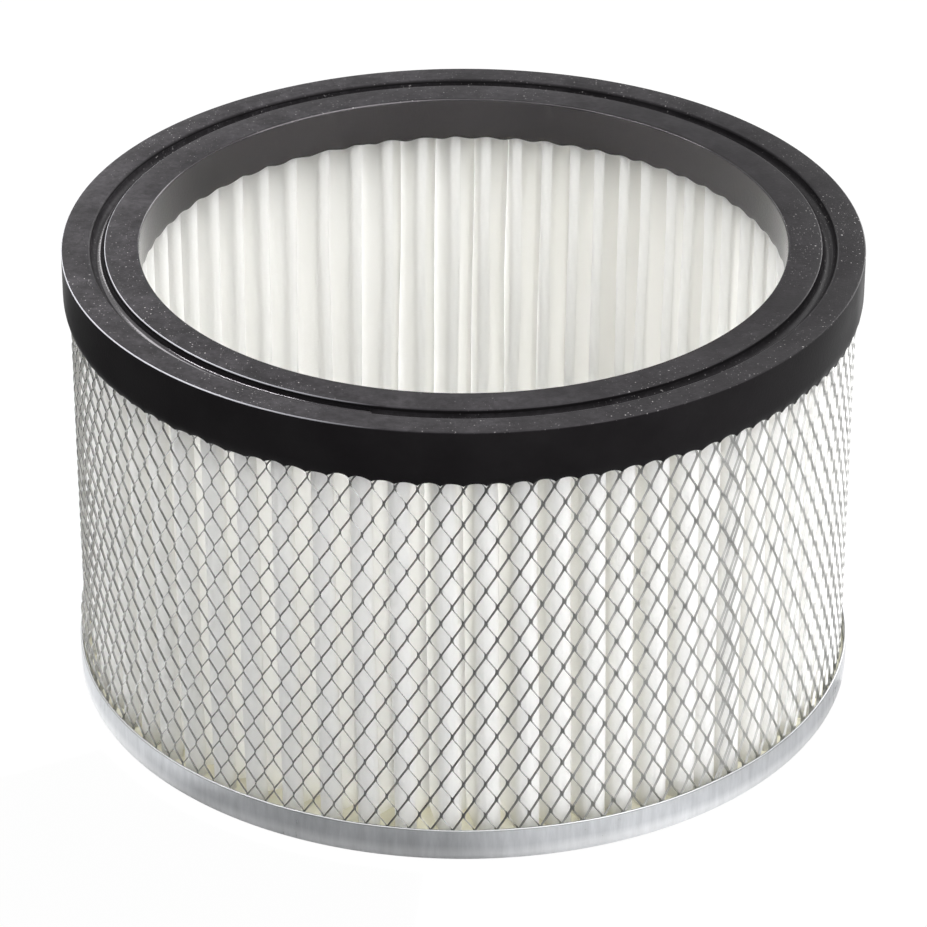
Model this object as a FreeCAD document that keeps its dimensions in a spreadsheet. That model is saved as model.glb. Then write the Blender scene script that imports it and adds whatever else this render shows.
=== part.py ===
import FreeCAD, Part
import os
import Sketcher

STEP_FOLDER = "parts"
AXIS = FreeCAD.Vector(0, 0, 1)
CENTRE = FreeCAD.Vector(0, 0, 0)

# Driving sizes in mm, or as the note says.
SIZES = [
    ("overall_height", 111.0, "underside of the pan to the sealing face"),
    ("ring_bore_diameter", 149.3, "bore of the sealing ring"),
    ("ring_face_width", 17.85, "sealing face from the bore to the outer edge"),
    ("ring_height", 11.2, "sealing face to the underside of the ring"),
    ("ring_wall_height", 10.0, "straight part of the ring's outer wall"),
    ("ring_embed", 6.0, "depth of the pleat ends in the ring"),
    ("skirt_drop", 2.5, "skirt below the underside, over the mesh"),
    ("skirt_wall", 0.8, "radial thickness of the skirt"),
    ("skirt_lip", 0.3, "flat on the skirt's lower edge"),
    ("groove_land", 7.95, "sealing face between the bore and the groove"),
    ("groove_width", 3.2, "groove in the sealing face"),
    ("groove_depth", 2.5, "groove below the sealing face"),
    ("pleat_count", 64, "number of pleats"),
    ("pleat_recess", 0.4, "inner folds behind the bore wall"),
    ("media_thickness", 0.6, "sheet that is folded into pleats"),
    ("media_clearance", 0.2, "outer folds to the mesh"),
    ("mesh_columns", 115, "number of mesh openings around"),
    ("mesh_long_pitch", 8.4, "height of one mesh opening"),
    ("mesh_clearance", 0.2, "mesh to the skirt and to the pan's rim"),
    ("strand_width", 0.65, "strand along the circumference"),
    ("strand_depth", 0.45, "strand along the radius"),
    ("strand_runs", 2, "number of straight lengths in a strand"),
    ("layer_gap", 0.02, "between crossing strands"),
    ("sheet_thickness", 0.5, "steel of the pan"),
    ("rim_height", 8.6, "pan's rim above its underside"),
    ("corner_leg", 3.0, "sloping lower corner of the pan, each way"),
    ("bed_depth", 5.0, "potting on the pan's floor"),
    ("bed_margin", 2.5, "potting inside the inner folds"),
    ("bed_under", 1.0, "potting under the pleats"),
]

# Sizes that follow from the driving ones.
FITS = [
    ("bore_radius", "Size.ring_bore_diameter / 2"),
    ("ring_radius", "bore_radius + Size.ring_face_width"),
    ("underside", "Size.overall_height - Size.ring_height"),
    ("skirt_foot", "underside - Size.skirt_drop"),
    ("skirt_radius", "ring_radius - Size.skirt_wall"),
    ("wall_foot", "Size.overall_height - Size.ring_wall_height"),
    ("groove_inner", "bore_radius + Size.groove_land"),
    ("groove_outer", "groove_inner + Size.groove_width"),
    ("groove_floor", "Size.overall_height - Size.groove_depth"),
    ("bed_level", "Size.sheet_thickness + Size.bed_depth"),
    ("mesh_height", "underside - bed_level"),
    ("mesh_outer", "skirt_radius - Size.mesh_clearance"),
    ("mesh_middle", "mesh_outer - Size.strand_depth"),
    ("mesh_back", "mesh_middle - Size.layer_gap"),
    ("mesh_inner", "mesh_back - Size.strand_depth"),
    ("strand_turn", "360 / Size.mesh_columns * mesh_height / Size.mesh_long_pitch / Size.strand_runs"),
    ("pleat_outer", "mesh_inner * cos(strand_turn / 2) - Size.media_clearance"),
    ("pleat_inner", "bore_radius + Size.pleat_recess"),
    ("pleat_half", "180 / Size.pleat_count"),
    ("pleat_slope", "atan(pleat_outer * sin(pleat_half) / (pleat_outer * cos(pleat_half) - pleat_inner)) / 1deg"),
    ("pleat_valley", "pleat_inner + Size.media_thickness / sin(pleat_slope)"),
    ("pleat_crest", "pleat_outer * pleat_inner / pleat_valley"),
    ("media_foot", "Size.sheet_thickness + Size.bed_under"),
    ("media_height", "underside + Size.ring_embed - media_foot"),
    ("pan_radius", "skirt_radius + Size.sheet_thickness"),
    ("pan_floor", "pan_radius - Size.corner_leg"),
    ("bend_shift", "Size.sheet_thickness * tan(22.5)"),
    ("bend_foot", "pan_floor - bend_shift"),
    ("bend_head", "Size.corner_leg + bend_shift"),
    ("bed_inner", "pleat_inner - Size.bed_margin"),
]


def fill_sheet(doc):
    sheet = doc.addObject("Spreadsheet::Sheet", "Size")
    for row, (alias, value, note) in enumerate(SIZES, start=1):
        sheet.set(f"A{row}", alias)
        sheet.set(f"B{row}", str(value))
        sheet.set(f"C{row}", note)
        sheet.setAlias(f"B{row}", alias)
    doc.recompute()
    return sheet


def add_fits(doc):
    fits = doc.addObject("App::VarSet", "Fit")
    for name, expression in FITS:
        fits.addProperty("App::PropertyFloat", name, "Fit", expression)
        fits.setExpression(name, expression)
    doc.recompute()
    return fits


def add_sketch(body, name, plane):
    sketch = body.newObject("Sketcher::SketchObject", name)
    support = next(item for item in body.Origin.OriginFeatures if item.Role == plane)
    sketch.AttachmentSupport = [(support, "")]
    sketch.MapMode = "FlatFace"
    return sketch


def pin_coordinate(sketch, name, kind, axis, edge, end, expression):
    """Tie one coordinate of an edge's end to an expression; a leading minus puts it on the far side."""
    if expression == "0":
        sketch.addConstraint(Sketcher.Constraint("PointOnObject", edge, end, axis))
        return
    places = (-1, 1, edge, end)
    if expression.startswith("-"):
        places = (edge, end, -1, 1)
        expression = expression[1:]
    value = float(sketch.evalExpression(expression))
    index = sketch.addConstraint(Sketcher.Constraint(kind, *places, value))
    sketch.renameConstraint(index, name)
    sketch.setExpression(f"Constraints.{name}", expression)


def draw_outline(sketch, corners):
    """Draw a closed outline through named corners, each a pair of expressions for across and up."""
    names = list(corners)
    spots = []
    for pair in corners.values():
        across, up = (float(sketch.evalExpression(item)) for item in pair)
        spots.append(FreeCAD.Vector(across, up, 0))
    for edge in range(len(names)):
        sketch.addGeometry(Part.LineSegment(spots[edge - 1], spots[edge]), False)
    for edge, name in enumerate(names):
        across, up = corners[name]
        sketch.addConstraint(Sketcher.Constraint("Coincident", (edge - 1) % len(names), 2, edge, 1))
        pin_coordinate(sketch, f"{name}_across", "DistanceX", -2, edge, 2, across)
        pin_coordinate(sketch, f"{name}_up", "DistanceY", -1, edge, 2, up)


def add_revolved(doc, label, corners):
    body = doc.addObject("PartDesign::Body", label)
    sketch = add_sketch(body, f"{label}_profile", "XZ_Plane")
    draw_outline(sketch, corners)
    turned = body.newObject("PartDesign::Revolution", f"{label}_turned")
    turned.Profile = sketch
    turned.ReferenceAxis = (sketch, ["V_Axis"])
    turned.Angle = 360
    return body


def add_cut(doc, label, base, tool):
    cut = doc.addObject("Part::Cut", label)
    cut.Base = base
    cut.Tool = tool
    return cut


def add_pleats(doc, label):
    """Fold one pleat as a V of sheet, inner fold on the X axis, and repeat it around the axis."""
    body = doc.addObject("PartDesign::Body", label)
    body.setExpression("Placement.Base.z", "Fit.media_foot")
    sketch = add_sketch(body, "pleat_outline", "XY_Plane")
    cosine, sine = "cos(Fit.pleat_half)", "sin(Fit.pleat_half)"
    draw_outline(sketch, {
        "tip": ("Fit.pleat_inner", "0"),
        "crest_right": (f"Fit.pleat_crest * {cosine}", f"-Fit.pleat_crest * {sine}"),
        "fold_right": (f"Fit.pleat_outer * {cosine}", f"-Fit.pleat_outer * {sine}"),
        "valley": ("Fit.pleat_valley", "0"),
        "fold_left": (f"Fit.pleat_outer * {cosine}", f"Fit.pleat_outer * {sine}"),
        "crest_left": (f"Fit.pleat_crest * {cosine}", f"Fit.pleat_crest * {sine}"),
    })
    pleat = body.newObject("PartDesign::Pad", "pleat")
    pleat.Profile = sketch
    pleat.setExpression("Length", "Fit.media_height")
    pack = body.newObject("PartDesign::PolarPattern", "pleats_around")
    pack.Originals = [pleat]
    pack.Axis = (sketch, ["N_Axis"])
    pack.Angle = 360
    pack.setExpression("Occurrences", "Size.pleat_count")
    body.Tip = pack
    return body


def add_strand(doc, name, runs, hand, back, crest):
    """One slanting strand: straight lengths between turned sections, hand giving the way it leans."""
    sections = []
    for level in range(runs + 1):
        section = doc.addObject("Sketcher::SketchObject", f"{name}_section_{level}")
        corners = {
            "back_right": (back, "-Size.strand_width / 2"),
            "crest": (crest, "0"),
            "back_left": (back, "Size.strand_width / 2"),
        }
        draw_outline(section, corners)
        rise = f"Fit.mesh_height * {level} / Size.strand_runs"
        section.setExpression("Placement.Base.z", f"Fit.bed_level + {rise}")
        section.setExpression("Placement.Rotation.Angle", f"{hand} * {level} * Fit.strand_turn")
        sections.append(section)
    strand = doc.addObject("Part::Loft", name)
    strand.Sections = sections
    strand.Solid = True
    strand.Ruled = True
    return strand


def add_mesh(doc, label, strands, columns):
    """Repeat the strands around the axis; they stay separate lengths that cross and touch."""
    turned = []
    for strand in strands:
        for place in range(columns):
            turned.append(strand.Shape.rotated(CENTRE, AXIS, 360 * place / columns))
    mesh = doc.addObject("Part::Feature", label)
    mesh.Shape = Part.makeCompound(turned)
    return mesh


def build():
    doc = FreeCAD.newDocument("hepa_filter")
    sheet = fill_sheet(doc)
    add_fits(doc)

    pleats = add_pleats(doc, "pleat_pack")

    ring_blank = add_revolved(doc, "ring_blank", {
        "bore_foot": ("Fit.bore_radius", "Fit.underside"),
        "skirt_root": ("Fit.skirt_radius", "Fit.underside"),
        "skirt_inside": ("Fit.skirt_radius", "Fit.skirt_foot"),
        "skirt_outside": ("Fit.skirt_radius + Size.skirt_lip", "Fit.skirt_foot"),
        "wall_foot": ("Fit.ring_radius", "Fit.wall_foot"),
        "wall_head": ("Fit.ring_radius", "Size.overall_height"),
        "groove_outer_edge": ("Fit.groove_outer", "Size.overall_height"),
        "groove_outer_root": ("Fit.groove_outer", "Fit.groove_floor"),
        "groove_inner_root": ("Fit.groove_inner", "Fit.groove_floor"),
        "groove_inner_edge": ("Fit.groove_inner", "Size.overall_height"),
        "bore_head": ("Fit.bore_radius", "Size.overall_height"),
    })
    ring = add_cut(doc, "sealing_ring", ring_blank, pleats)

    pan = add_revolved(doc, "end_pan", {
        "floor_centre": ("0", "0"),
        "floor_edge": ("Fit.pan_floor", "0"),
        "rim_foot": ("Fit.pan_radius", "Size.corner_leg"),
        "rim_outside": ("Fit.pan_radius", "Size.rim_height"),
        "rim_inside": ("Fit.skirt_radius", "Size.rim_height"),
        "bend_head": ("Fit.skirt_radius", "Fit.bend_head"),
        "bend_foot": ("Fit.bend_foot", "Size.sheet_thickness"),
        "inside_centre": ("0", "Size.sheet_thickness"),
    })

    bed_blank = add_revolved(doc, "bed_blank", {
        "inner_foot": ("Fit.bed_inner", "Size.sheet_thickness"),
        "bend_foot": ("Fit.bend_foot", "Size.sheet_thickness"),
        "bend_head": ("Fit.skirt_radius", "Fit.bend_head"),
        "outer_level": ("Fit.skirt_radius", "Fit.bed_level"),
        "inner_level": ("Fit.bed_inner", "Fit.bed_level"),
    })
    bed = add_cut(doc, "potting_bed", bed_blank, pleats)

    runs = int(sheet.strand_runs)
    outer_strand = add_strand(doc, "outer_strand", runs, 1, "Fit.mesh_middle", "Fit.mesh_outer")
    inner_strand = add_strand(doc, "inner_strand", runs, -1, "Fit.mesh_back", "Fit.mesh_inner")
    doc.recompute()
    mesh = add_mesh(doc, "outer_mesh", [outer_strand, inner_strand], int(sheet.mesh_columns))
    doc.recompute()
    return doc, [ring, pleats, mesh, pan, bed]


def check(doc, nodes):
    for item in doc.Objects:
        if any(word in item.State for word in ("Invalid", "Error")):
            raise RuntimeError(f"{item.Name}: {item.State}")
    for node in nodes:
        if node.Shape.isNull() or not node.Shape.isValid():
            raise RuntimeError(f"{node.Label}: shape is null or not valid")


def write_steps(nodes):
    os.makedirs(STEP_FOLDER, exist_ok=True)
    for node in nodes:
        node.Shape.exportStep(os.path.join(STEP_FOLDER, f"{node.Label}.step"))


document, parts = build()
check(document, parts)
write_steps(parts)
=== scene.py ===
"""Looks of a round pleated cartridge filter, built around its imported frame.

Sizes are in millimetres until a mesh is made. Heights are in the frame's own Z.
"""

import math

import bmesh
import bpy
import numpy as np
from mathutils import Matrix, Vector


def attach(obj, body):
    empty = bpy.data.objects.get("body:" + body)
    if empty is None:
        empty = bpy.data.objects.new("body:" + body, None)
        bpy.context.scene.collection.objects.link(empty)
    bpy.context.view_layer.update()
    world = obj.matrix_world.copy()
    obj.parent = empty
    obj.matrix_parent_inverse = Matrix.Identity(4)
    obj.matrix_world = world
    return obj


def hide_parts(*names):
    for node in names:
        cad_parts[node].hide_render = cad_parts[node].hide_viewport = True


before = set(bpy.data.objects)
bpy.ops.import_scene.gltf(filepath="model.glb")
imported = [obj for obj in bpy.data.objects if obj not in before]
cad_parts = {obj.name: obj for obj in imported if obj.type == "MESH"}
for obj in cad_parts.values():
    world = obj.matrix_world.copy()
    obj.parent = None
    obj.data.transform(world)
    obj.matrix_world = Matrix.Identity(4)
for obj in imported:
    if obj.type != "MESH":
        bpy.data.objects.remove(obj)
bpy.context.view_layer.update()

MM = 0.001
TURN = 2 * math.pi


def reach(node):
    """Smallest and largest radius of a node, then its lowest and highest Z."""
    points = np.array([tuple(v.co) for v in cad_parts[node].data.vertices]) / MM
    radii = np.hypot(points[:, 0], points[:, 1])
    return radii.min(), radii.max(), points[:, 2].min(), points[:, 2].max()


BORE_RADIUS, RING_RADIUS, SKIRT_FOOT, TOP = reach("sealing_ring")
TIP_RADIUS, FOLD_RADIUS, MEDIA_FOOT, MEDIA_HEAD = reach("pleat_pack")
_, GUARD_OUTER, GUARD_FOOT, UNDERSIDE = reach("outer_mesh")
_, PAN_RADIUS, FLOOR, RIM = reach("end_pan")
BED_INNER, BED_OUTER, BED_FOOT, BED_TOP = reach("potting_bed")

# Sealing ring
GROOVE_LAND = 7.95
GROOVE_WIDTH = 3.2
GROOVE_DEPTH = 2.5
WALL_HEIGHT = 10.0
RING_SEGMENTS = 1380
BORE_LIP = 0.6
INNER_LIP = 0.4
OUTER_LIP = 0.8
OUTER_EDGE = 0.4
GROOVE_ROOT = 1.55
HEM_LAP = 0.2
BORE_FOOT = 0.45
POLISHED_TO = -20.0  # the groove's inner side is rubbed smooth up to this X
PAINTED_HIGHLIGHT_FROM, PAINTED_HIGHLIGHT_TO = -18, -58  # X between which the edges are painted pale: a painted highlight

# Pleats
PLEATS = 64
MEDIA_THICKNESS = 0.6
TIP_BEND = 0.95
CREST_BEND = 2.2
MEDIA_LEVELS = 16
FOLD_STEPS = 8
FLANK_STEPS = 4
PLEAT_TWIST = 0.014
PLEAT_LEAN = 0.030
BOND_PITCH = 1.5
OUTER_LETS_THROUGH = 0.60
INNER_LETS_THROUGH = 0.78
# Tones of the two skins by share of the way from the inner folds out.
# Painted shade: the outer skin turns darker and greyer out towards its crests, which catch the most
# light, and the inner skin's tips are painted darker than its flanks.
OUTER_SKIN_AND_PAINTED_SHADE = [(0.30, (0.925, 0.908, 0.848)), (0.72, (0.892, 0.874, 0.796)),
              (0.97, (0.845, 0.842, 0.845))]
INNER_SKIN_AND_PAINTED_SHADE = [(0.02, (0.960, 0.960, 0.960)), (0.12, (0.992, 0.992, 0.992)),
              (0.97, (0.994, 0.994, 0.993))]

# Guard
COLUMNS = 115
LONG_PITCH = 8.4
STRAND_WIDTH = 0.53
STRAND_THICKNESS = 0.23
STRAND_TILT = math.radians(57)
GUARD_RADIUS = GUARD_OUTER - 1.0
LATTICE_DROP = 2.4
SEAM_ANGLE = math.radians(-50)
SEAM_STRANDS = 2
SEAM_LIFT = 0.4
SEAM_SLIP = 0.7
SEAM_ASIDE = 0.14
SLACK_ANGLE = math.radians(184)
SLACK_SPREAD = 0.45
SLACK_HEIGHT = 4.5
# The zinc's grey by share of the way across X, painted darker at the front and back and paler at
# the two sides: a painted reflection.
ZINC_GREYS_AND_PAINTED_REFLECTION = [(0.0, 0.52), (0.08, 0.41), (0.16, 0.20), (0.24, 0.12), (0.50, 0.105),
              (0.58, 0.17), (0.68, 0.33), (0.82, 0.46), (1.0, 0.50)]

# Pan
SHEET = 0.5
PAN_CORNER = 2.2
HEM = 0.3
HEM_DROP = 2.2
PAN_SEGMENTS = 512
PAN_CENTRE = 0.01
POTTING_SEGMENTS = 384

# Camera in ring radii from the centre of the sealing face, fitted to the photograph's frame.
FRAME_PIXELS = 927
CAMERA_FOCUS = 4560
CAMERA_BACK = -10.151
CAMERA_RISE = 5.123
CAMERA_PITCH = 29.63
SENSOR = 36.0

# Studio
LAMP_AIM = (0, 0, 0.06)
FLOOR_WHITE = 0.98  # share of plain white that the camera and reflections see on the floor
CARD_GREY = 0.025
FLAG_GREY = 0.08
REFLECTED_ONLY = ("camera", "diffuse", "transmission", "shadow")
SHADING_ONLY = ("camera", "glossy", "shadow")


def wobble(angle, seed, lowest, highest, size):
    """Smooth closed noise around the axis, from seeded waves between two counts per turn."""
    draw = np.random.default_rng(seed)
    total = np.zeros_like(np.asarray(angle, float))
    counts = range(lowest, highest + 1)
    for count in counts:
        phase, weight = draw.uniform(0, TURN), draw.uniform(0.4, 1.0)
        total = total + weight * np.cos(count * angle + phase)
    return size * total / math.sqrt(len(counts) / 2)


# Meshes

def make_object(name, points, faces, uv=None, smooth=True):
    """A mesh object from points in millimetres, quads and one (u, v) pair per face corner."""
    mesh = bpy.data.meshes.new(name)
    mesh.from_pydata((np.asarray(points) * MM).tolist(), [], np.asarray(faces).tolist())
    if uv is not None:
        layer = mesh.uv_layers.new(name="surface_mm")
        layer.data.foreach_set("uv", np.asarray(uv, np.float32).ravel())
    mesh.polygons.foreach_set("use_smooth", [smooth] * len(mesh.polygons))
    piece = bpy.data.objects.new(name, mesh)
    bpy.context.collection.objects.link(piece)
    return piece


def face_outward(piece):
    work = bmesh.new()
    work.from_mesh(piece.data)
    bmesh.ops.recalc_face_normals(work, faces=work.faces)
    work.to_mesh(piece.data)
    work.free()


def grid_object(name, points, across, up):
    """A surface closed both ways from rows of points, with its (u, v) in across and up."""
    rows, columns = points.shape[:2]
    i, j = np.meshgrid(np.arange(rows), np.arange(columns), indexing="ij")
    i_next, j_next = (i + 1) % rows, (j + 1) % columns
    corners = [(i, j), (i, j_next), (i_next, j_next), (i_next, j)]
    faces = np.stack([a * columns + b for a, b in corners], axis=-1).reshape(-1, 4)
    ends = [(i, j), (i, j + 1), (i + 1, j + 1), (i + 1, j)]
    uv = np.stack([np.stack([across[b], up[a]], axis=-1) for a, b in ends], axis=2)
    piece = make_object(name, points.reshape(-1, 3), faces, uv.reshape(-1, 2))
    face_outward(piece)
    return piece


def arc(centre, radius, start, finish, steps=6):
    """Points of an arc in a profile, in degrees; radius is one number or a pair across and up."""
    across, up = radius if isinstance(radius, tuple) else (radius, radius)
    angles = np.radians(np.linspace(start, finish, steps + 1))
    return [(centre[0] + across * math.cos(a), centre[1] + up * math.sin(a)) for a in angles]


def turn_profile(profile, angles, shift):
    """Rows of points from a closed (radius, height) profile, moved by shift's two offsets."""
    profile = np.asarray(profile)
    radius = np.repeat(profile[:, :1], len(angles), axis=1)
    height = np.repeat(profile[:, 1:], len(angles), axis=1)
    move = shift(profile, angles)
    radius, height = radius + move[0], height + move[1]
    points = np.stack([radius * np.cos(angles), radius * np.sin(angles), height], axis=-1)
    loop = np.vstack([profile, profile[:1]])
    lengths = np.concatenate([[0], np.cumsum(np.hypot(*np.diff(loop, axis=0).T))])
    return points, lengths


def lathe(name, profile, segments, shift):
    """A profile turned around the axis, with shift's unevenness."""
    angles = np.arange(segments) * TURN / segments
    points, lengths = turn_profile(profile, angles, shift)
    across = np.arange(segments + 1) * TURN / segments * np.max(np.asarray(profile)[:, 0])
    return grid_object(name, points, across, lengths)


# Pleats

def pleat_angles():
    """Angles of the inner folds and, after each, of the outer fold, uneven as given."""
    draw = np.random.default_rng(11)
    even = np.arange(PLEATS) * TURN / PLEATS
    crowded = 0.045 * np.sin(even - math.radians(150))
    crowded = crowded - 0.04 * np.cos(3 * (even - math.radians(88)))
    tips = even + crowded + draw.normal(0, 0.0045, PLEATS)
    after = np.append(tips[1:], tips[0] + TURN)
    lean = PLEAT_LEAN * (1 + 0.35 * np.cos(2 * even + 0.6))
    folds = (tips + after) / 2 + lean + draw.normal(0, 0.004, PLEATS)
    return tips, folds


TIPS, FOLDS = pleat_angles()


def pleat_phase(angles):
    """Pleat phase in radians at each angle, a multiple of a turn at every inner fold."""
    start = TIPS[0]
    knots = np.append(TIPS, TIPS[0] + TURN)
    wrapped = (angles - start) % TURN + start
    return np.interp(wrapped, knots, np.arange(PLEATS + 1)) * TURN


def polar(radius, angle):
    return np.array([radius * math.cos(angle), radius * math.sin(angle)])


def tangent_side(start, finish, bend):
    """Unit vector from a fold's centre to where the flank leaves it; bend adds both radii."""
    gap = finish - start
    distance = np.linalg.norm(gap)
    along = gap / distance
    side = np.array([-along[1], along[0]])
    lean = bend / distance
    return lean * along + math.sqrt(1 - lean * lean) * side


def sweep(start, finish, direction, steps):
    """Angles from one unit vector to another, turning the given way round."""
    first, last = math.atan2(start[1], start[0]), math.atan2(finish[1], finish[0])
    span = (last - first) % TURN
    if direction < 0:
        span -= TURN
    return first + span * np.arange(steps + 1) / steps


def pleat_section(tips, folds, tip_radii, fold_radii):
    """Middle line of the folded sheet and its outward normals, once around."""
    both = TIP_BEND + CREST_BEND
    inner = [polar(r + TIP_BEND, a) for r, a in zip(tip_radii, tips)]
    outer = [polar(r - CREST_BEND, a) for r, a in zip(fold_radii, folds)]
    points, normals = [], []
    for k in range(PLEATS):
        before, here, crest, after = outer[k - 1], inner[k], outer[k], inner[(k + 1) % PLEATS]
        arrive = tangent_side(before, here, both)
        leave = tangent_side(here, crest, both)
        drop = tangent_side(crest, after, both)
        for turn in sweep(-arrive, leave, -1, FOLD_STEPS):
            ray = polar(1, turn)
            points.append(here + TIP_BEND * ray)
            normals.append(-ray)
        flank_start, flank_finish = here + TIP_BEND * leave, crest - CREST_BEND * leave
        for step in range(1, FLANK_STEPS):
            points.append(flank_start + (flank_finish - flank_start) * step / FLANK_STEPS)
            normals.append(-leave)
        for turn in sweep(-leave, drop, 1, FOLD_STEPS):
            ray = polar(1, turn)
            points.append(crest + CREST_BEND * ray)
            normals.append(ray)
        flank_start, flank_finish = crest + CREST_BEND * drop, after - TIP_BEND * drop
        for step in range(1, FLANK_STEPS):
            points.append(flank_start + (flank_finish - flank_start) * step / FLANK_STEPS)
            normals.append(drop)
    return np.array(points), np.array(normals)


def build_pleats():
    """The folded sheet; the skin that faces the hollow takes the second finish."""
    draw = np.random.default_rng(23)
    tip_radii = TIP_RADIUS + 0.15 + np.abs(draw.normal(0, 0.18, PLEATS))
    fold_radii = FOLD_RADIUS - np.abs(draw.normal(0, 0.3, PLEATS))
    sway_phase = draw.uniform(0, TURN, PLEATS)
    sway_size = draw.normal(0, 0.0035, PLEATS)
    heights = np.linspace(MEDIA_FOOT, MEDIA_HEAD, MEDIA_LEVELS)
    outside, inside = [], []
    for height in heights:
        share = (height - MEDIA_FOOT) / (MEDIA_HEAD - MEDIA_FOOT)
        sway = sway_size * np.sin(math.pi * share) * np.cos(TURN * share + sway_phase)
        twist = PLEAT_TWIST * (1 - share)
        tips, folds = TIPS + twist + sway, FOLDS + twist - sway
        line, normal = pleat_section(tips, folds, tip_radii, fold_radii)
        level = np.full((len(line), 1), height)
        outside.append(np.hstack([line + normal * MEDIA_THICKNESS / 2, level]))
        inside.append(np.hstack([line - normal * MEDIA_THICKNESS / 2, level]))
    points = np.array(outside + inside[::-1])
    steps = np.diff(np.vstack([line, line[:1]]), axis=0)
    across = np.concatenate([[0], np.cumsum(np.hypot(*steps.T))])
    up = np.concatenate([heights, heights[::-1], heights[:1]])
    piece = grid_object("filter_media", points, across, up)
    for face in piece.data.polygons:
        face.material_index = 0 if face.index < (MEDIA_LEVELS - 1) * len(line) else 1
    return piece


# Sealing ring

def ring_profile():
    """The ring's outline from the bore's upper edge over the groove and the skirt and back."""
    groove_in = BORE_RADIUS + GROOVE_LAND
    groove_out = groove_in + GROOVE_WIDTH
    floor = TOP - GROOVE_DEPTH
    skirt = BED_OUTER
    profile = arc((BORE_RADIUS + BORE_LIP, TOP - BORE_LIP), BORE_LIP, 180, 90)
    profile += arc((groove_in - INNER_LIP, TOP - INNER_LIP), INNER_LIP, 90, 0)
    profile += arc((groove_in + GROOVE_ROOT, floor + GROOVE_ROOT), GROOVE_ROOT, 180, 270)
    profile += arc((groove_out - GROOVE_ROOT, floor + GROOVE_ROOT), GROOVE_ROOT, 270, 360)
    profile += arc((groove_out + OUTER_LIP, TOP - OUTER_LIP), OUTER_LIP, 180, 90, 8)
    profile += arc((RING_RADIUS - OUTER_EDGE, TOP - OUTER_EDGE), OUTER_EDGE, 90, 0)
    profile += [(RING_RADIUS, TOP - WALL_HEIGHT / 2)]
    foot = TOP - WALL_HEIGHT
    round_foot = (RING_RADIUS - skirt + HEM_LAP, foot - SKIRT_FOOT)
    profile += arc((skirt - HEM_LAP, foot), round_foot, 0, -90, 8)
    profile += [(skirt - 0.7, SKIRT_FOOT + 0.6), (skirt - 0.9, UNDERSIDE)]
    profile += [(BORE_RADIUS + 2.5, UNDERSIDE)]
    profile += arc((BORE_RADIUS + BORE_FOOT, UNDERSIDE + 0.95), BORE_FOOT, 270, 180)
    profile += [(BORE_RADIUS, UNDERSIDE + 2.0)]
    return profile


def ring_shift(profile, angles):
    """Casting waves: the bore's lower edge rises at each inner fold, the hem runs uneven."""
    radius, height = profile[:, :1], profile[:, 1:]
    near_bore = np.clip(1 - (radius - BORE_RADIUS) / 2.0, 0, 1)
    at_bore = near_bore * np.clip(1 - (height - UNDERSIDE) / 2.0, 0, 1)
    wave = 0.42 * np.cos(pleat_phase(angles)) + wobble(angles, 5, 20, 140, 0.10)
    hem = np.clip((TOP - WALL_HEIGHT - height) / (TOP - WALL_HEIGHT - SKIRT_FOOT), 0, 1)
    at_hem = hem ** 2 * np.clip((radius - BORE_RADIUS - 8) / 4, 0, 1)
    size = 0.45 + 0.52 * np.cos(angles + math.radians(48)) + wobble(angles, 13, 9, 40, 0.14)
    size = np.clip(size, 0.12, 1.1)
    arches = size * np.abs(np.sin((COLUMNS * angles - math.pi / 2) / 2)) ** 0.7
    strands = arches + wobble(angles, 7, 5, 60, 0.15) - 0.2
    sag = wobble(angles, 9, 2, 7, 0.05)
    return sag * hem, at_bore * wave + at_hem * np.clip(strands, -0.3, None)


def build_ring():
    """The ring in four finishes.

    The bore and the polished side of the groove take the second, the edges painted pale as a
    painted highlight the third, and the rest of the groove, where dust settles, the fourth.
    """
    piece = lathe("seal_ring", ring_profile(), RING_SEGMENTS, ring_shift)
    lip = BORE_RADIUS + GROOVE_LAND
    for face in piece.data.polygons:
        radius, height = math.hypot(face.center.x, face.center.y) / MM, face.center.z / MM
        at_lip = lip - 0.22 < radius < lip + 0.05 and height > TOP - 0.3
        at_edge = radius > RING_RADIUS - 0.24 and height > TOP - 0.25
        in_groove = lip < radius < lip + GROOVE_WIDTH and UNDERSIDE < height < TOP - 0.3
        polished = radius < lip + GROOVE_WIDTH / 2 and face.center.x < POLISHED_TO * MM
        if at_lip or at_edge:
            face.material_index = 2
        elif radius < BORE_RADIUS + 0.2 or in_groove and polished:
            face.material_index = 1
        elif in_groove:
            face.material_index = 3
    return piece


# Guard

def strand_swing():
    """Heights and side swings along one strand, which bonds to either neighbour in turn."""
    half = LONG_PITCH / 2
    start = GUARD_FOOT - LATTICE_DROP
    levels = int(math.ceil((UNDERSIDE - start) / half)) + 1
    shares = np.array([0.06, 0.17, 0.83, 0.94])
    swings = np.array([1.0, 0.86, -0.86, -1.0])
    heights, swing = [], []
    for level in range(levels):
        sign = 1 if level % 2 == 0 else -1
        heights.extend(start + half * (level + shares))
        swing.extend(sign * swings)
    heights, swing = np.array(heights), np.array(swing)
    keep = (heights > GUARD_FOOT) & (heights < UNDERSIDE)
    ends = np.array([GUARD_FOOT, UNDERSIDE])
    first, last = np.interp(ends, heights, swing)
    return np.hstack([ends[:1], heights[keep], ends[1:]]), np.hstack([first, swing[keep], last])


def guard_bulge(angles, heights):
    """How far the sheet stands off its cylinder: slack above the rim at one side, and waves."""
    turned = np.angle(np.exp(1j * (angles - SLACK_ANGLE)))
    side = np.exp(-((turned / SLACK_SPREAD) ** 2))
    low = np.exp(-(((heights - RIM - SLACK_HEIGHT) / SLACK_HEIGHT) ** 2))
    rise = np.pi * (heights - GUARD_FOOT) / (UNDERSIDE - GUARD_FOOT)
    waves = wobble(angles, 31, 2, 9, 0.10) * np.sin(rise)
    return side * low + waves


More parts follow.
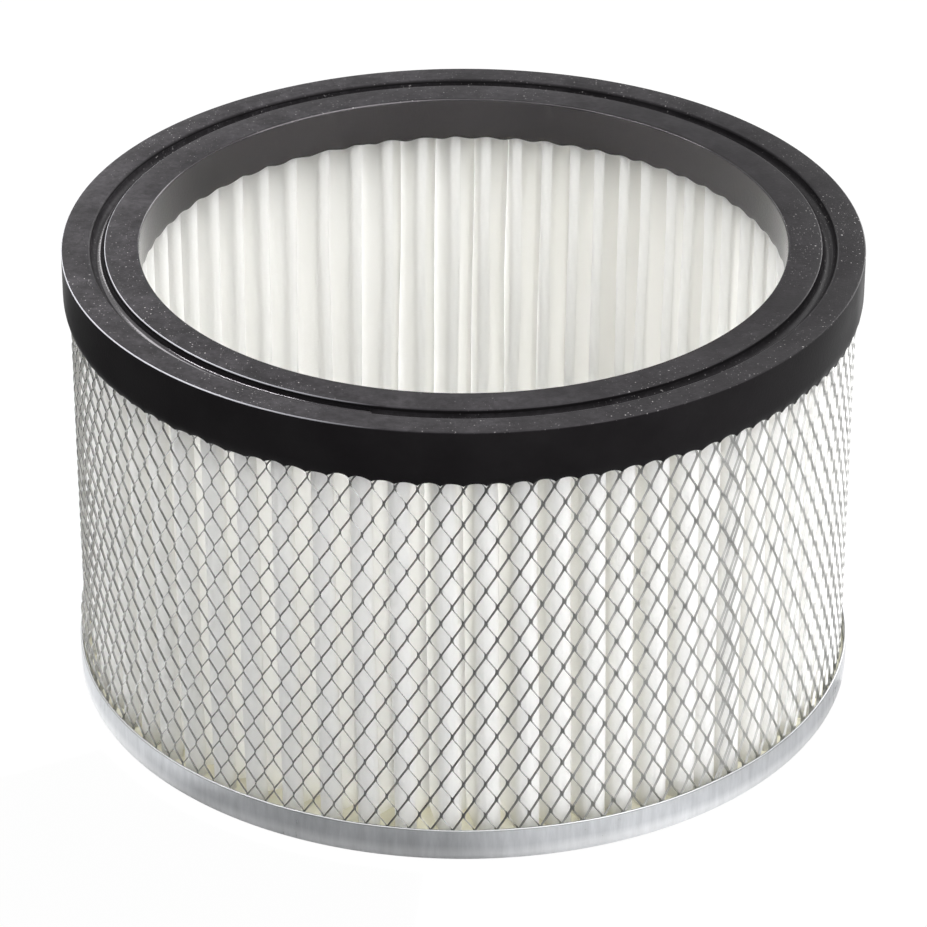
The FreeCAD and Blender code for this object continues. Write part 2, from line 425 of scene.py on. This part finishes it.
def strand_corners(place, parity, lift, heights, swing):
    """Four corner lines of one strand whose middle stands at the angle place."""
    pitch = TURN * GUARD_RADIUS / (2 * COLUMNS)
    sign = swing if parity == 0 else -swing
    reach_aside = pitch / 2 - STRAND_WIDTH / 2 * math.cos(STRAND_TILT)
    middle_aside = sign * reach_aside
    middle_out = lift - sign * STRAND_WIDTH / 2 * math.sin(STRAND_TILT)
    wide = np.array([math.cos(STRAND_TILT), math.sin(STRAND_TILT)]) * STRAND_WIDTH / 2
    thick = np.array([-math.sin(STRAND_TILT), math.cos(STRAND_TILT)]) * STRAND_THICKNESS / 2
    corners = []
    for a, b in ((1, 1), (1, -1), (-1, -1), (-1, 1)):
        aside = middle_aside + a * wide[0] + b * thick[0]
        out = middle_out + a * wide[1] + b * thick[1]
        angle = place + aside / GUARD_RADIUS
        radius = np.minimum(GUARD_RADIUS + out + guard_bulge(angle, heights), RING_RADIUS - 0.1)
        corners.append(np.stack([radius * np.cos(angle), radius * np.sin(angle), heights], axis=-1))
    return np.stack(corners, axis=1)


def build_guard():
    """All strands; the outer one of each strand's two cut edges takes the second finish."""
    heights, swing = strand_swing()
    count = len(heights)
    strands = []
    for k in range(2 * COLUMNS):
        strands.append(strand_corners(math.pi * k / COLUMNS, k % 2, 0.0, heights, swing))
    slipped = np.interp(heights + SEAM_SLIP, heights, swing)
    first = round(SEAM_ANGLE * COLUMNS / math.pi)
    for k in range(first, first + SEAM_STRANDS):
        place = math.pi * (k + SEAM_ASIDE) / COLUMNS
        strands.append(strand_corners(place, k % 2, SEAM_LIFT, heights, slipped))
    points = np.concatenate([s.reshape(-1, 3) for s in strands])
    ring = np.arange(count - 1)[:, None] * 4
    side = np.arange(4)[None, :]
    turn = (side + 1) % 4
    quads = [ring + side, ring + turn, ring + 4 + turn, ring + 4 + side]
    quads = np.stack(quads, axis=-1).reshape(-1, 4)
    caps = np.array([[3, 2, 1, 0], np.array([0, 1, 2, 3]) + 4 * (count - 1)])
    one = np.vstack([quads, caps])
    faces = np.concatenate([one + 4 * count * k for k in range(len(strands))])
    piece = make_object("expanded_guard", points, faces, smooth=False)
    face_outward(piece)
    for face in piece.data.polygons:
        place = face.index % len(one)
        face.material_index = 1 if place < len(quads) and place % 4 == 0 else 0
    return piece


# Pan and potting

def build_pan():
    """The pan with a folded rim; its flat floor takes the second finish."""
    inside = PAN_RADIUS - SHEET
    bend = PAN_CORNER - SHEET
    centre = (PAN_RADIUS - PAN_CORNER, FLOOR + PAN_CORNER)
    profile = [(PAN_CENTRE, FLOOR), (45, FLOOR)]
    profile += arc(centre, PAN_CORNER, 270, 360, 10)
    profile += [(PAN_RADIUS, (FLOOR + PAN_CORNER + RIM) / 2)]
    profile += arc((PAN_RADIUS - HEM, RIM - HEM), HEM, 0, 180, 8)
    profile += [(PAN_RADIUS - 2 * HEM, RIM - HEM_DROP), (inside, RIM - HEM_DROP - 0.3)]
    profile += [(inside, FLOOR + PAN_CORNER)]
    profile += arc(centre, bend, 360, 270, 6)
    profile += [(PAN_CENTRE, FLOOR + SHEET)]

    def shift(outline, angles):
        rim = np.clip((outline[:, 1:] - FLOOR - 2) / (RIM - FLOOR - 2), 0, 1)
        inward = np.abs(wobble(angles, 41, 2, 12, 0.07))
        down = np.abs(wobble(angles, 43, 3, 24, 0.06))
        return -inward * rim, -down * rim

    piece = lathe("steel_pan", profile, PAN_SEGMENTS, shift)
    for face in piece.data.polygons:
        if math.hypot(face.center.x, face.center.y) < (PAN_RADIUS - 2 * PAN_CORNER) * MM:
            face.material_index = 1
    return piece


def build_potting():
    """The adhesive bed, whose top runs uneven between the pleats."""
    profile = [(BED_INNER, BED_FOOT + 0.1), (BED_OUTER - 3.2, BED_FOOT + 0.1)]
    profile += [(BED_OUTER - 0.1, BED_FOOT + 3.0), (BED_OUTER - 0.1, BED_TOP - 0.2)]
    profile += [(r, BED_TOP) for r in np.linspace(BED_OUTER - 1, BED_INNER + 1.5, 10)]
    profile += [(BED_INNER, BED_TOP - 1.0)]

    def shift(outline, angles):
        top = np.clip((outline[:, 1:] - BED_FOOT - 3) / 2, 0, 1)
        drop = wobble(angles, 47, 6, 70, 0.25) - 1.1
        return np.zeros((len(outline), len(angles))), top * drop

    return lathe("potting_glue", profile, POTTING_SEGMENTS, shift)


# Materials

def new_material(name):
    material = bpy.data.materials.new(name)
    material.use_nodes = True
    return material, material.node_tree.nodes, material.node_tree.links


def add_noise(nodes, links, vector, scale, detail=3.0, roughness=0.55):
    noise = nodes.new("ShaderNodeTexNoise")
    noise.inputs["Scale"].default_value = scale
    noise.inputs["Detail"].default_value = detail
    noise.inputs["Roughness"].default_value = roughness
    links.new(vector, noise.inputs["Vector"])
    return noise.outputs["Fac"]


def greys(*stops):
    """Ramp stops from (place, grey) pairs."""
    return [(place, (grey,) * 3) for place, grey in stops]


def add_ramp(nodes, links, value, stops):
    ramp = nodes.new("ShaderNodeValToRGB")
    elements = ramp.color_ramp.elements
    while len(elements) < len(stops):
        elements.new(0.5)
    for element, (place, colour) in zip(elements, stops):
        element.position = place
        element.color = (*colour, 1)
    links.new(value, ramp.inputs["Fac"])
    return ramp.outputs["Color"]


def add_math(nodes, links, operation, first, second=None):
    node = nodes.new("ShaderNodeMath")
    node.operation = operation
    for socket, value in zip(node.inputs, (first, second)):
        if value is None:
            continue
        if isinstance(value, (int, float)):
            socket.default_value = value
        else:
            links.new(value, socket)
    return node.outputs[0]


def add_mix(nodes, links, share, first, second):
    mix = nodes.new("ShaderNodeMix")
    mix.data_type = "RGBA"
    links.new(share, mix.inputs["Factor"])
    for socket, value in ((mix.inputs["A"], first), (mix.inputs["B"], second)):
        if isinstance(value, tuple):
            socket.default_value = (*value, 1)
        else:
            links.new(value, socket)
    return mix.outputs["Result"]


def add_product(nodes, links, first, second):
    product = nodes.new("ShaderNodeMix")
    product.data_type = "RGBA"
    product.blend_type = "MULTIPLY"
    product.inputs["Factor"].default_value = 1
    links.new(first, product.inputs["A"])
    links.new(second, product.inputs["B"])
    return product.outputs["Result"]


def add_bump(nodes, links, shader, height, distance, strength=1.0):
    bump = nodes.new("ShaderNodeBump")
    bump.inputs["Strength"].default_value = strength
    bump.inputs["Distance"].default_value = distance
    links.new(height, bump.inputs["Height"])
    links.new(bump.outputs["Normal"], shader.inputs["Normal"])


def add_coordinates(nodes):
    return nodes.new("ShaderNodeTexCoord").outputs["Object"]


def add_split(nodes, links, vector):
    split = nodes.new("ShaderNodeSeparateXYZ")
    links.new(vector, split.inputs["Vector"])
    return split.outputs


def add_range(nodes, links, value, start, finish, low=0.0, high=1.0):
    """low where the value is at start, high where it is at finish, and clamped."""
    share = nodes.new("ShaderNodeMapRange")
    share.inputs["From Min"].default_value = start
    share.inputs["From Max"].default_value = finish
    share.inputs["To Min"].default_value = low
    share.inputs["To Max"].default_value = high
    links.new(value, share.inputs["Value"])
    return share.outputs["Result"]


def add_blend(nodes, links, share, first, second):
    """The material's surface from two shaders."""
    mix = nodes.new("ShaderNodeMixShader")
    links.new(share, mix.inputs["Fac"])
    links.new(first, mix.inputs[1])
    links.new(second, mix.inputs[2])
    links.new(mix.outputs["Shader"], nodes["Material Output"].inputs["Surface"])


def add_radius(nodes, links, where, lowest, highest):
    """Distance from the axis, from 0 at the lowest to 1 at the highest radius in millimetres."""
    flat = nodes.new("ShaderNodeVectorMath")
    flat.operation = "MULTIPLY"
    flat.inputs[1].default_value = (1, 1, 0)
    links.new(where, flat.inputs[0])
    length = nodes.new("ShaderNodeVectorMath")
    length.operation = "LENGTH"
    links.new(flat.outputs["Vector"], length.inputs[0])
    return add_range(nodes, links, length.outputs["Value"], lowest * MM, highest * MM)


def rubber_material(name, shine, rough, painted_highlight=0.0, dust_depth=0.5):
    """Cast rubber, dusty down to dust_depth below its top; its fourth argument paints one side
    pale, a painted highlight.
    """
    material, nodes, links = new_material(name)
    shader = nodes["Principled BSDF"]
    where = add_coordinates(nodes)
    cloud = add_noise(nodes, links, where, 60, 4)
    fine = add_noise(nodes, links, where, 1500, 3)
    stops = [(0.3, (0.0050, 0.0046, 0.0050)), (0.75, (0.0075, 0.0071, 0.0075))]
    tone = add_ramp(nodes, links, cloud, stops)
    place = add_split(nodes, links, where)
    dust_top = (TOP - dust_depth / 10) * MM
    lies = add_range(nodes, links, place["Z"], (TOP - dust_depth) * MM, dust_top)
    wiped = add_noise(nodes, links, where, 95, 6, 0.7)
    smear = add_ramp(nodes, links, wiped, greys((0.33, 0.10), (0.68, 0.60)))
    grain = add_noise(nodes, links, where, 700, 4, 0.65)
    grain = add_ramp(nodes, links, grain, greys((0.35, 0.55), (0.68, 1.5)))
    smear = add_math(nodes, links, "MULTIPLY", smear, grain)
    film = add_math(nodes, links, "MULTIPLY", lies, smear)
    edge = RING_RADIUS * MM
    # The dust film is thickest at -X and thins to a fifth of that at +X.
    film_by_x = add_range(nodes, links, place["X"], -edge, edge, 1.0, 0.2)
    film = add_math(nodes, links, "MULTIPLY", film, film_by_x)
    dusty = add_mix(nodes, links, film, tone, (0.04, 0.0375, 0.041))
    # Painted highlight: between two X the edges turn pale in place of the bright lines that lamps
    # would draw.
    if painted_highlight:
        highlight_share = add_range(nodes, links, place["X"], PAINTED_HIGHLIGHT_FROM * MM, PAINTED_HIGHLIGHT_TO * MM, 0.0, painted_highlight)
        dusty = add_mix(nodes, links, highlight_share, dusty, (0.42, 0.42, 0.45))
    specks = add_noise(nodes, links, where, 2000, 1, 0.4)
    dust = add_ramp(nodes, links, specks, greys((0.70, 0), (0.76, 1)))
    patch = add_noise(nodes, links, where, 25, 2)
    patch = add_ramp(nodes, links, patch, greys((0.40, 0), (0.60, 1)))
    amount = add_math(nodes, links, "MULTIPLY", dust, patch)
    amount = add_math(nodes, links, "MULTIPLY", amount, lies)
    colour = add_mix(nodes, links, amount, dusty, (0.26, 0.25, 0.25))
    links.new(colour, shader.inputs["Base Color"])
    gloss = add_ramp(nodes, links, cloud, greys((0.3, rough[0]), (0.7, rough[1])))
    links.new(gloss, shader.inputs["Roughness"])
    shader.inputs["Specular IOR Level"].default_value = shine
    shader.inputs["Specular Tint"].default_value = (1.0, 0.95, 1.0, 1)
    add_bump(nodes, links, shader, fine, 0.00006, 0.5)
    return material


def media_material(name, tones, lets_through):
    """Nonwoven sheet with rows of bonded points and loose fibre, in tones by radius that carry
    painted shade.
    """
    material, nodes, links = new_material(name)
    shader = nodes["Principled BSDF"]
    sheet = nodes.new("ShaderNodeUVMap")
    sheet.uv_map = "surface_mm"
    place = add_split(nodes, links, sheet.outputs["UV"])
    waves = []
    for axis in "XY":
        turn = add_math(nodes, links, "MULTIPLY", place[axis], TURN / BOND_PITCH)
        waves.append(add_math(nodes, links, "COSINE", turn))
    dots = add_math(nodes, links, "MULTIPLY", waves[0], waves[1])
    dots = add_math(nodes, links, "SMOOTH_MAX", dots, 0.35)
    fibre = add_noise(nodes, links, sheet.outputs["UV"], 1.8, 5, 0.7)
    where = add_coordinates(nodes)
    cloud = add_noise(nodes, links, where, 45, 3)
    depth = add_radius(nodes, links, where, TIP_RADIUS, FOLD_RADIUS)
    radial_tone_and_shade = add_ramp(nodes, links, depth, tones)
    dull = add_ramp(nodes, links, cloud, [(0.35, (0.985, 0.984, 0.980)), (0.7, (1, 1, 1))])
    tone = add_product(nodes, links, radial_tone_and_shade, dull)
    links.new(tone, shader.inputs["Base Color"])
    shader.inputs["Roughness"].default_value = 0.8
    shader.inputs["Specular IOR Level"].default_value = 0.2
    dents = add_math(nodes, links, "MULTIPLY", dots, -0.6)
    height = add_math(nodes, links, "ADD", dents, fibre)
    add_bump(nodes, links, shader, height, 0.00030, 0.8)
    through = nodes.new("ShaderNodeBsdfTranslucent")
    through.inputs["Color"].default_value = (0.988, 0.988, 0.986, 1)
    # Light that is already inside the sheet leaves it by the other skin.
    side = nodes.new("ShaderNodeNewGeometry")
    share = add_range(nodes, links, side.outputs["Backfacing"], 0.0, 1.0, lets_through)
    add_blend(nodes, links, share, shader.outputs["BSDF"], through.outputs["BSDF"])
    return material


def zinc_material():
    """Thin zinc on the guard's strands, painted darker at its front and back than at its two sides:
    a painted reflection.
    """
    material, nodes, links = new_material("guard_zinc")
    shader = nodes["Principled BSDF"]
    where = add_coordinates(nodes)
    cloud = add_noise(nodes, links, where, 180, 4)
    aside = add_split(nodes, links, where)["X"]
    share = add_range(nodes, links, aside, -GUARD_OUTER * MM, GUARD_OUTER * MM)
    # Painted reflection: the grey by X stands in for what the zinc reflects, dark at the front and
    # back and pale at the sides.
    zinc = add_ramp(nodes, links, share, [(x, (g, g, 0.98 * g)) for x, g in ZINC_GREYS_AND_PAINTED_REFLECTION])
    worn = add_ramp(nodes, links, cloud, greys((0.3, 0.75), (0.7, 1.2)))
    links.new(add_product(nodes, links, zinc, worn), shader.inputs["Base Color"])
    shader.inputs["Metallic"].default_value = 0.8
    gloss = add_ramp(nodes, links, cloud, greys((0.3, 0.34), (0.7, 0.46)))
    links.new(gloss, shader.inputs["Roughness"])
    add_bump(nodes, links, shader, add_noise(nodes, links, where, 1200, 2), 0.00005, 0.4)
    return material


def cut_edge_material():
    """Bright sheared edge of the guard's strands."""
    material, nodes, links = new_material("guard_cut_edge")
    shader = nodes["Principled BSDF"]
    cloud = add_noise(nodes, links, add_coordinates(nodes), 420)
    stops = [(0.35, (0.40, 0.40, 0.39)), (0.65, (0.80, 0.80, 0.80))]
    tone = add_ramp(nodes, links, cloud, stops)
    links.new(tone, shader.inputs["Base Color"])
    shader.inputs["Metallic"].default_value = 1.0
    gloss = add_ramp(nodes, links, cloud, greys((0.3, 0.30), (0.7, 0.20)))
    links.new(gloss, shader.inputs["Roughness"])
    return material


def pan_material():
    """Galvanised sheet, drawn: upright streaks, brighter towards its lower edge, and a rim painted
    dark as painted shade.
    """
    material, nodes, links = new_material("galvanised_sheet")
    shader = nodes["Principled BSDF"]
    sheet = nodes.new("ShaderNodeUVMap")
    sheet.uv_map = "surface_mm"
    stretch = nodes.new("ShaderNodeMapping")
    stretch.inputs["Scale"].default_value = (0.6, 0.09, 1)
    links.new(sheet.outputs["UV"], stretch.inputs["Vector"])
    streak = add_noise(nodes, links, stretch.outputs["Vector"], 1.0, 5, 0.65)
    where = add_coordinates(nodes)
    cloud = add_noise(nodes, links, where, 40, 4)
    both = add_math(nodes, links, "ADD", streak, cloud)
    both = add_math(nodes, links, "MULTIPLY", both, 0.5)
    stops = [(0.34, (0.50, 0.515, 0.535)), (0.64, (0.72, 0.735, 0.76))]
    tone = add_ramp(nodes, links, both, stops)
    stops = [(0.34, (0.68, 0.69, 0.705)), (0.64, (0.86, 0.87, 0.89))]
    bright = add_ramp(nodes, links, both, stops)
    height = add_split(nodes, links, where)["Z"]
    uneven = add_math(nodes, links, "MULTIPLY", cloud, 2.5 * MM)
    level = add_math(nodes, links, "ADD", height, uneven)
    level = add_math(nodes, links, "MULTIPLY", level, 0.1 / MM)
    # Brighter towards the bottom: the sheet turns paler below a height of about 4 to 6 mm.
    foot_band = add_ramp(nodes, links, level, greys((0.40, 1), (0.58, 0)))
    sheet_tone = add_mix(nodes, links, foot_band, tone, bright)
    # Painted shade: the rim's top is painted dark to hold down the lamps' reflection there.
    rim_painted_shade = add_range(nodes, links, height, (RIM - 0.5) * MM, (RIM - 0.25) * MM)
    colour = add_mix(nodes, links, rim_painted_shade, sheet_tone, (0.32, 0.325, 0.33))
    links.new(colour, shader.inputs["Base Color"])
    shader.inputs["Metallic"].default_value = 0.92
    gloss = add_ramp(nodes, links, both, greys((0.3, 0.24), (0.7, 0.40)))
    links.new(gloss, shader.inputs["Roughness"])
    add_bump(nodes, links, shader, streak, 0.00012, 0.35)
    return material


def pan_floor_material():
    """The same sheet where it lies flat: zinc spangle without streaks, dulled by dust."""
    material, nodes, links = new_material("galvanised_floor")
    shader = nodes["Principled BSDF"]
    where = add_coordinates(nodes)
    cells = nodes.new("ShaderNodeTexVoronoi")
    cells.inputs["Scale"].default_value = 190
    links.new(where, cells.inputs["Vector"])
    cloud = add_noise(nodes, links, where, 45, 5, 0.65)
    both = add_math(nodes, links, "ADD", cells.outputs["Color"], cloud)
    both = add_math(nodes, links, "MULTIPLY", both, 0.5)
    stops = [(0.25, (0.29, 0.295, 0.30)), (0.75, (0.41, 0.415, 0.42))]
    links.new(add_ramp(nodes, links, both, stops), shader.inputs["Base Color"])
    shader.inputs["Metallic"].default_value = 0.5
    gloss = add_ramp(nodes, links, cloud, greys((0.3, 0.50), (0.7, 0.66)))
    links.new(gloss, shader.inputs["Roughness"])
    add_bump(nodes, links, shader, cloud, 0.0001, 0.3)
    return material


def potting_material():
    """Pale yellow adhesive, cloudy and slightly rough."""
    material, nodes, links = new_material("amber_potting")
    shader = nodes["Principled BSDF"]
    where = add_coordinates(nodes)
    cloud = add_noise(nodes, links, where, 90, 3)
    tone = add_ramp(nodes, links, cloud, [(0.3, (0.76, 0.74, 0.59)), (0.7, (0.85, 0.83, 0.73))])
    links.new(tone, shader.inputs["Base Color"])
    shader.inputs["Roughness"].default_value = 0.4
    add_bump(nodes, links, shader, add_noise(nodes, links, where, 300, 3), 0.0003, 0.4)
    return material


def dress(piece, material, slot, node, *others):
    """Give a piece its finishes and set it in place of a node of the frame."""
    for finish in (material, *others):
        piece.data.materials.append(finish)
    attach(piece, "root")
    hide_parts(node)


# Studio

def build_floor():
    """A floor that is plain white to the camera and in reflections, and paper to other light."""
    bpy.ops.mesh.primitive_plane_add(size=6, location=(0, 0, 0))
    floor = bpy.context.object
    floor.name = "studio_floor"
    material, nodes, links = new_material("studio_white")
    nodes.remove(nodes["Principled BSDF"])
    paint = nodes.new("ShaderNodeBsdfDiffuse")
    paint.inputs["Color"].default_value = (0.9, 0.9, 0.9, 1)
    glow = nodes.new("ShaderNodeEmission")
    glow.inputs["Color"].default_value = (1, 1, 1, 1)
    glow.inputs["Strength"].default_value = 1.0
    rays = nodes.new("ShaderNodeLightPath").outputs
    seen = add_math(nodes, links, "MAXIMUM", rays["Is Camera Ray"], rays["Is Glossy Ray"])
    seen = add_math(nodes, links, "MAXIMUM", seen, rays["Is Transmission Ray"])
    white = add_math(nodes, links, "MULTIPLY", seen, FLOOR_WHITE)
    add_blend(nodes, links, white, paint.outputs["BSDF"], glow.outputs["Emission"])
    floor.data.materials.append(material)


def build_world():
    """Even white all round."""
    world = bpy.data.worlds.new("studio")
    bpy.context.scene.world = world
    world.use_nodes = True
    sky = world.node_tree.nodes["Background"]
    sky.inputs["Color"].default_value = (1, 1, 1, 1)
    sky.inputs["Strength"].default_value = 1.0


def add_softbox(name, place, size, power):
    light = bpy.data.lights.new(name, "AREA")
    light.shape = "RECTANGLE"
    light.size, light.size_y = size
    light.energy = power
    lamp = bpy.data.objects.new(name, light)
    bpy.context.collection.objects.link(lamp)
    lamp.location = place
    aim = Vector(place) - Vector(LAMP_AIM)
    lamp.rotation_mode = "QUATERNION"
    lamp.rotation_quaternion = aim.to_track_quat("Z", "Y")


def build_card(name, points, fades=None, grey=CARD_GREY, hidden=REFLECTED_ONLY):
    """A studio card that only reflections see, for the darks of metal and rubber.

    hidden names the rays that pass it, and fades its cover across the 250 mm in the middle.
    """
    card = make_object(name, points, [range(len(points))], smooth=False)
    material, nodes, links = new_material(name + "_paper")
    shader = nodes["Principled BSDF"]
    where = add_coordinates(nodes)
    paper = add_noise(nodes, links, where, 40)
    paper = add_ramp(nodes, links, paper, greys((0.3, 0.8 * grey), (0.7, 1.2 * grey)))
    links.new(paper, shader.inputs["Base Color"])
    shader.inputs["Roughness"].default_value = 0.9
    if fades is not None:
        across = add_split(nodes, links, where)["X"]
        share = add_math(nodes, links, "MULTIPLY", across, 4)
        share = add_math(nodes, links, "ADD", share, 0.5)
        cover = add_ramp(nodes, links, share, fades)
        clear = nodes.new("ShaderNodeBsdfTransparent")
        add_blend(nodes, links, cover, clear.outputs["BSDF"], shader.outputs["BSDF"])
    card.data.materials.append(material)
    for ray in hidden:
        setattr(card, "visible_" + ray, False)


def sector(inner, outer, start, finish, steps, height):
    """Outline of a flat piece of a ring around the axis, angles in degrees."""
    turns = np.radians(np.linspace(start, finish, steps))
    near = [(inner * math.cos(a), inner * math.sin(a), height) for a in turns]
    far = [(outer * math.cos(a), outer * math.sin(a), height) for a in turns[::-1]]
    return near + far


def upright(first, last, foot, head):
    """Outline of an upright card over a line on the floor."""
    return [(*first, foot), (*last, foot), (*last, head), (*first, head)]


def build_cards():
    """Dark cards for reflections, the front and foot ones a painted shadow of the filter on the
    floor, then two flags that shade the front at the left.
    """
    # Painted shadow: the front and foot cards darken the floor in reflections where the filter's
    # shadow lies, in front and at the left.
    floor = [(-700, -900), (700, -900), (700, -145), (-150, -145), (-150, 170), (-700, 170)]
    build_card("painted_shadow_front", [(x, y, 2) for x, y in floor])
    build_card("left_card", upright((-350, -700), (-900, -150), 2, 260))
    cover = greys((0.16, 0), (0.24, 0.72), (0.50, 0.80), (0.60, 0.30), (0.70, 0.05), (0.86, 0.50))
    build_card("painted_shadow_foot", sector(90.5, 150, -165, -10, 32, 0.1), cover)
    build_card("floor_flag", sector(96, 420, -152, -95, 12, 1), None, FLAG_GREY, SHADING_ONLY)
    flag = upright((-120, -560), (-540, -340), 2, 850)
    build_card("left_flag", flag, None, FLAG_GREY, SHADING_ONLY)


def build_camera():
    """The camera at the photograph's viewing angle."""
    camera = bpy.data.cameras.new("photo_camera")
    camera.sensor_width = SENSOR
    camera.lens = SENSOR * CAMERA_FOCUS / FRAME_PIXELS
    camera.clip_start, camera.clip_end = 0.05, 20
    eye = bpy.data.objects.new("photo_camera", camera)
    bpy.context.collection.objects.link(eye)
    rise = TOP + CAMERA_RISE * RING_RADIUS
    eye.location = (0, CAMERA_BACK * RING_RADIUS * MM, rise * MM)
    eye.rotation_euler = (math.radians(90 - CAMERA_PITCH), 0, 0)
    bpy.context.scene.camera = eye


# Scene

dress(build_ring(), rubber_material("cast_rubber", 0.035, (0.30, 0.42)),
      "seal_rubber", "sealing_ring",
      rubber_material("cast_rubber_bore", 0.85, (0.07, 0.11)),
      rubber_material("cast_rubber_edge", 0.12, (0.25, 0.35), 0.75),
      rubber_material("cast_rubber_groove", 0.035, (0.30, 0.42), 0.0, 2 * GROOVE_DEPTH))
dress(build_pleats(), media_material("outer_media", OUTER_SKIN_AND_PAINTED_SHADE, OUTER_LETS_THROUGH),
      "filter_media", "pleat_pack",
      media_material("inner_media", INNER_SKIN_AND_PAINTED_SHADE, INNER_LETS_THROUGH))
dress(build_guard(), zinc_material(), "guard_steel", "outer_mesh", cut_edge_material())
dress(build_pan(), pan_material(), "pan_steel", "end_pan", pan_floor_material())
dress(build_potting(), potting_material(), "potting", "potting_bed")

build_floor()
build_world()
build_cards()
add_softbox("key_right", (1.05, -0.85, 1.0), (1.9, 1.9), 28)
add_softbox("strip_left", (-1.3, -0.35, 0.8), (1.2, 0.06), 8)
add_softbox("top_soft", (0.0, 0.4, 1.8), (2.8, 2.8), 108)
add_softbox("back_fill", (0.8, 1.1, 0.45), (1.0, 1.0), 12)
add_softbox("back_left", (-0.6, 1.3, 0.5), (0.8, 0.4), 3)
build_camera()

scene = bpy.context.scene
scene.view_settings.view_transform = "Standard"
# Light crosses many pale folds before it leaves the pack.
scene.cycles.max_bounces = 20
scene.cycles.diffuse_bounces = 11
scene.cycles.transmission_bounces = 20
# With so few lamps, plain light sampling is quicker.
scene.cycles.use_light_tree = False
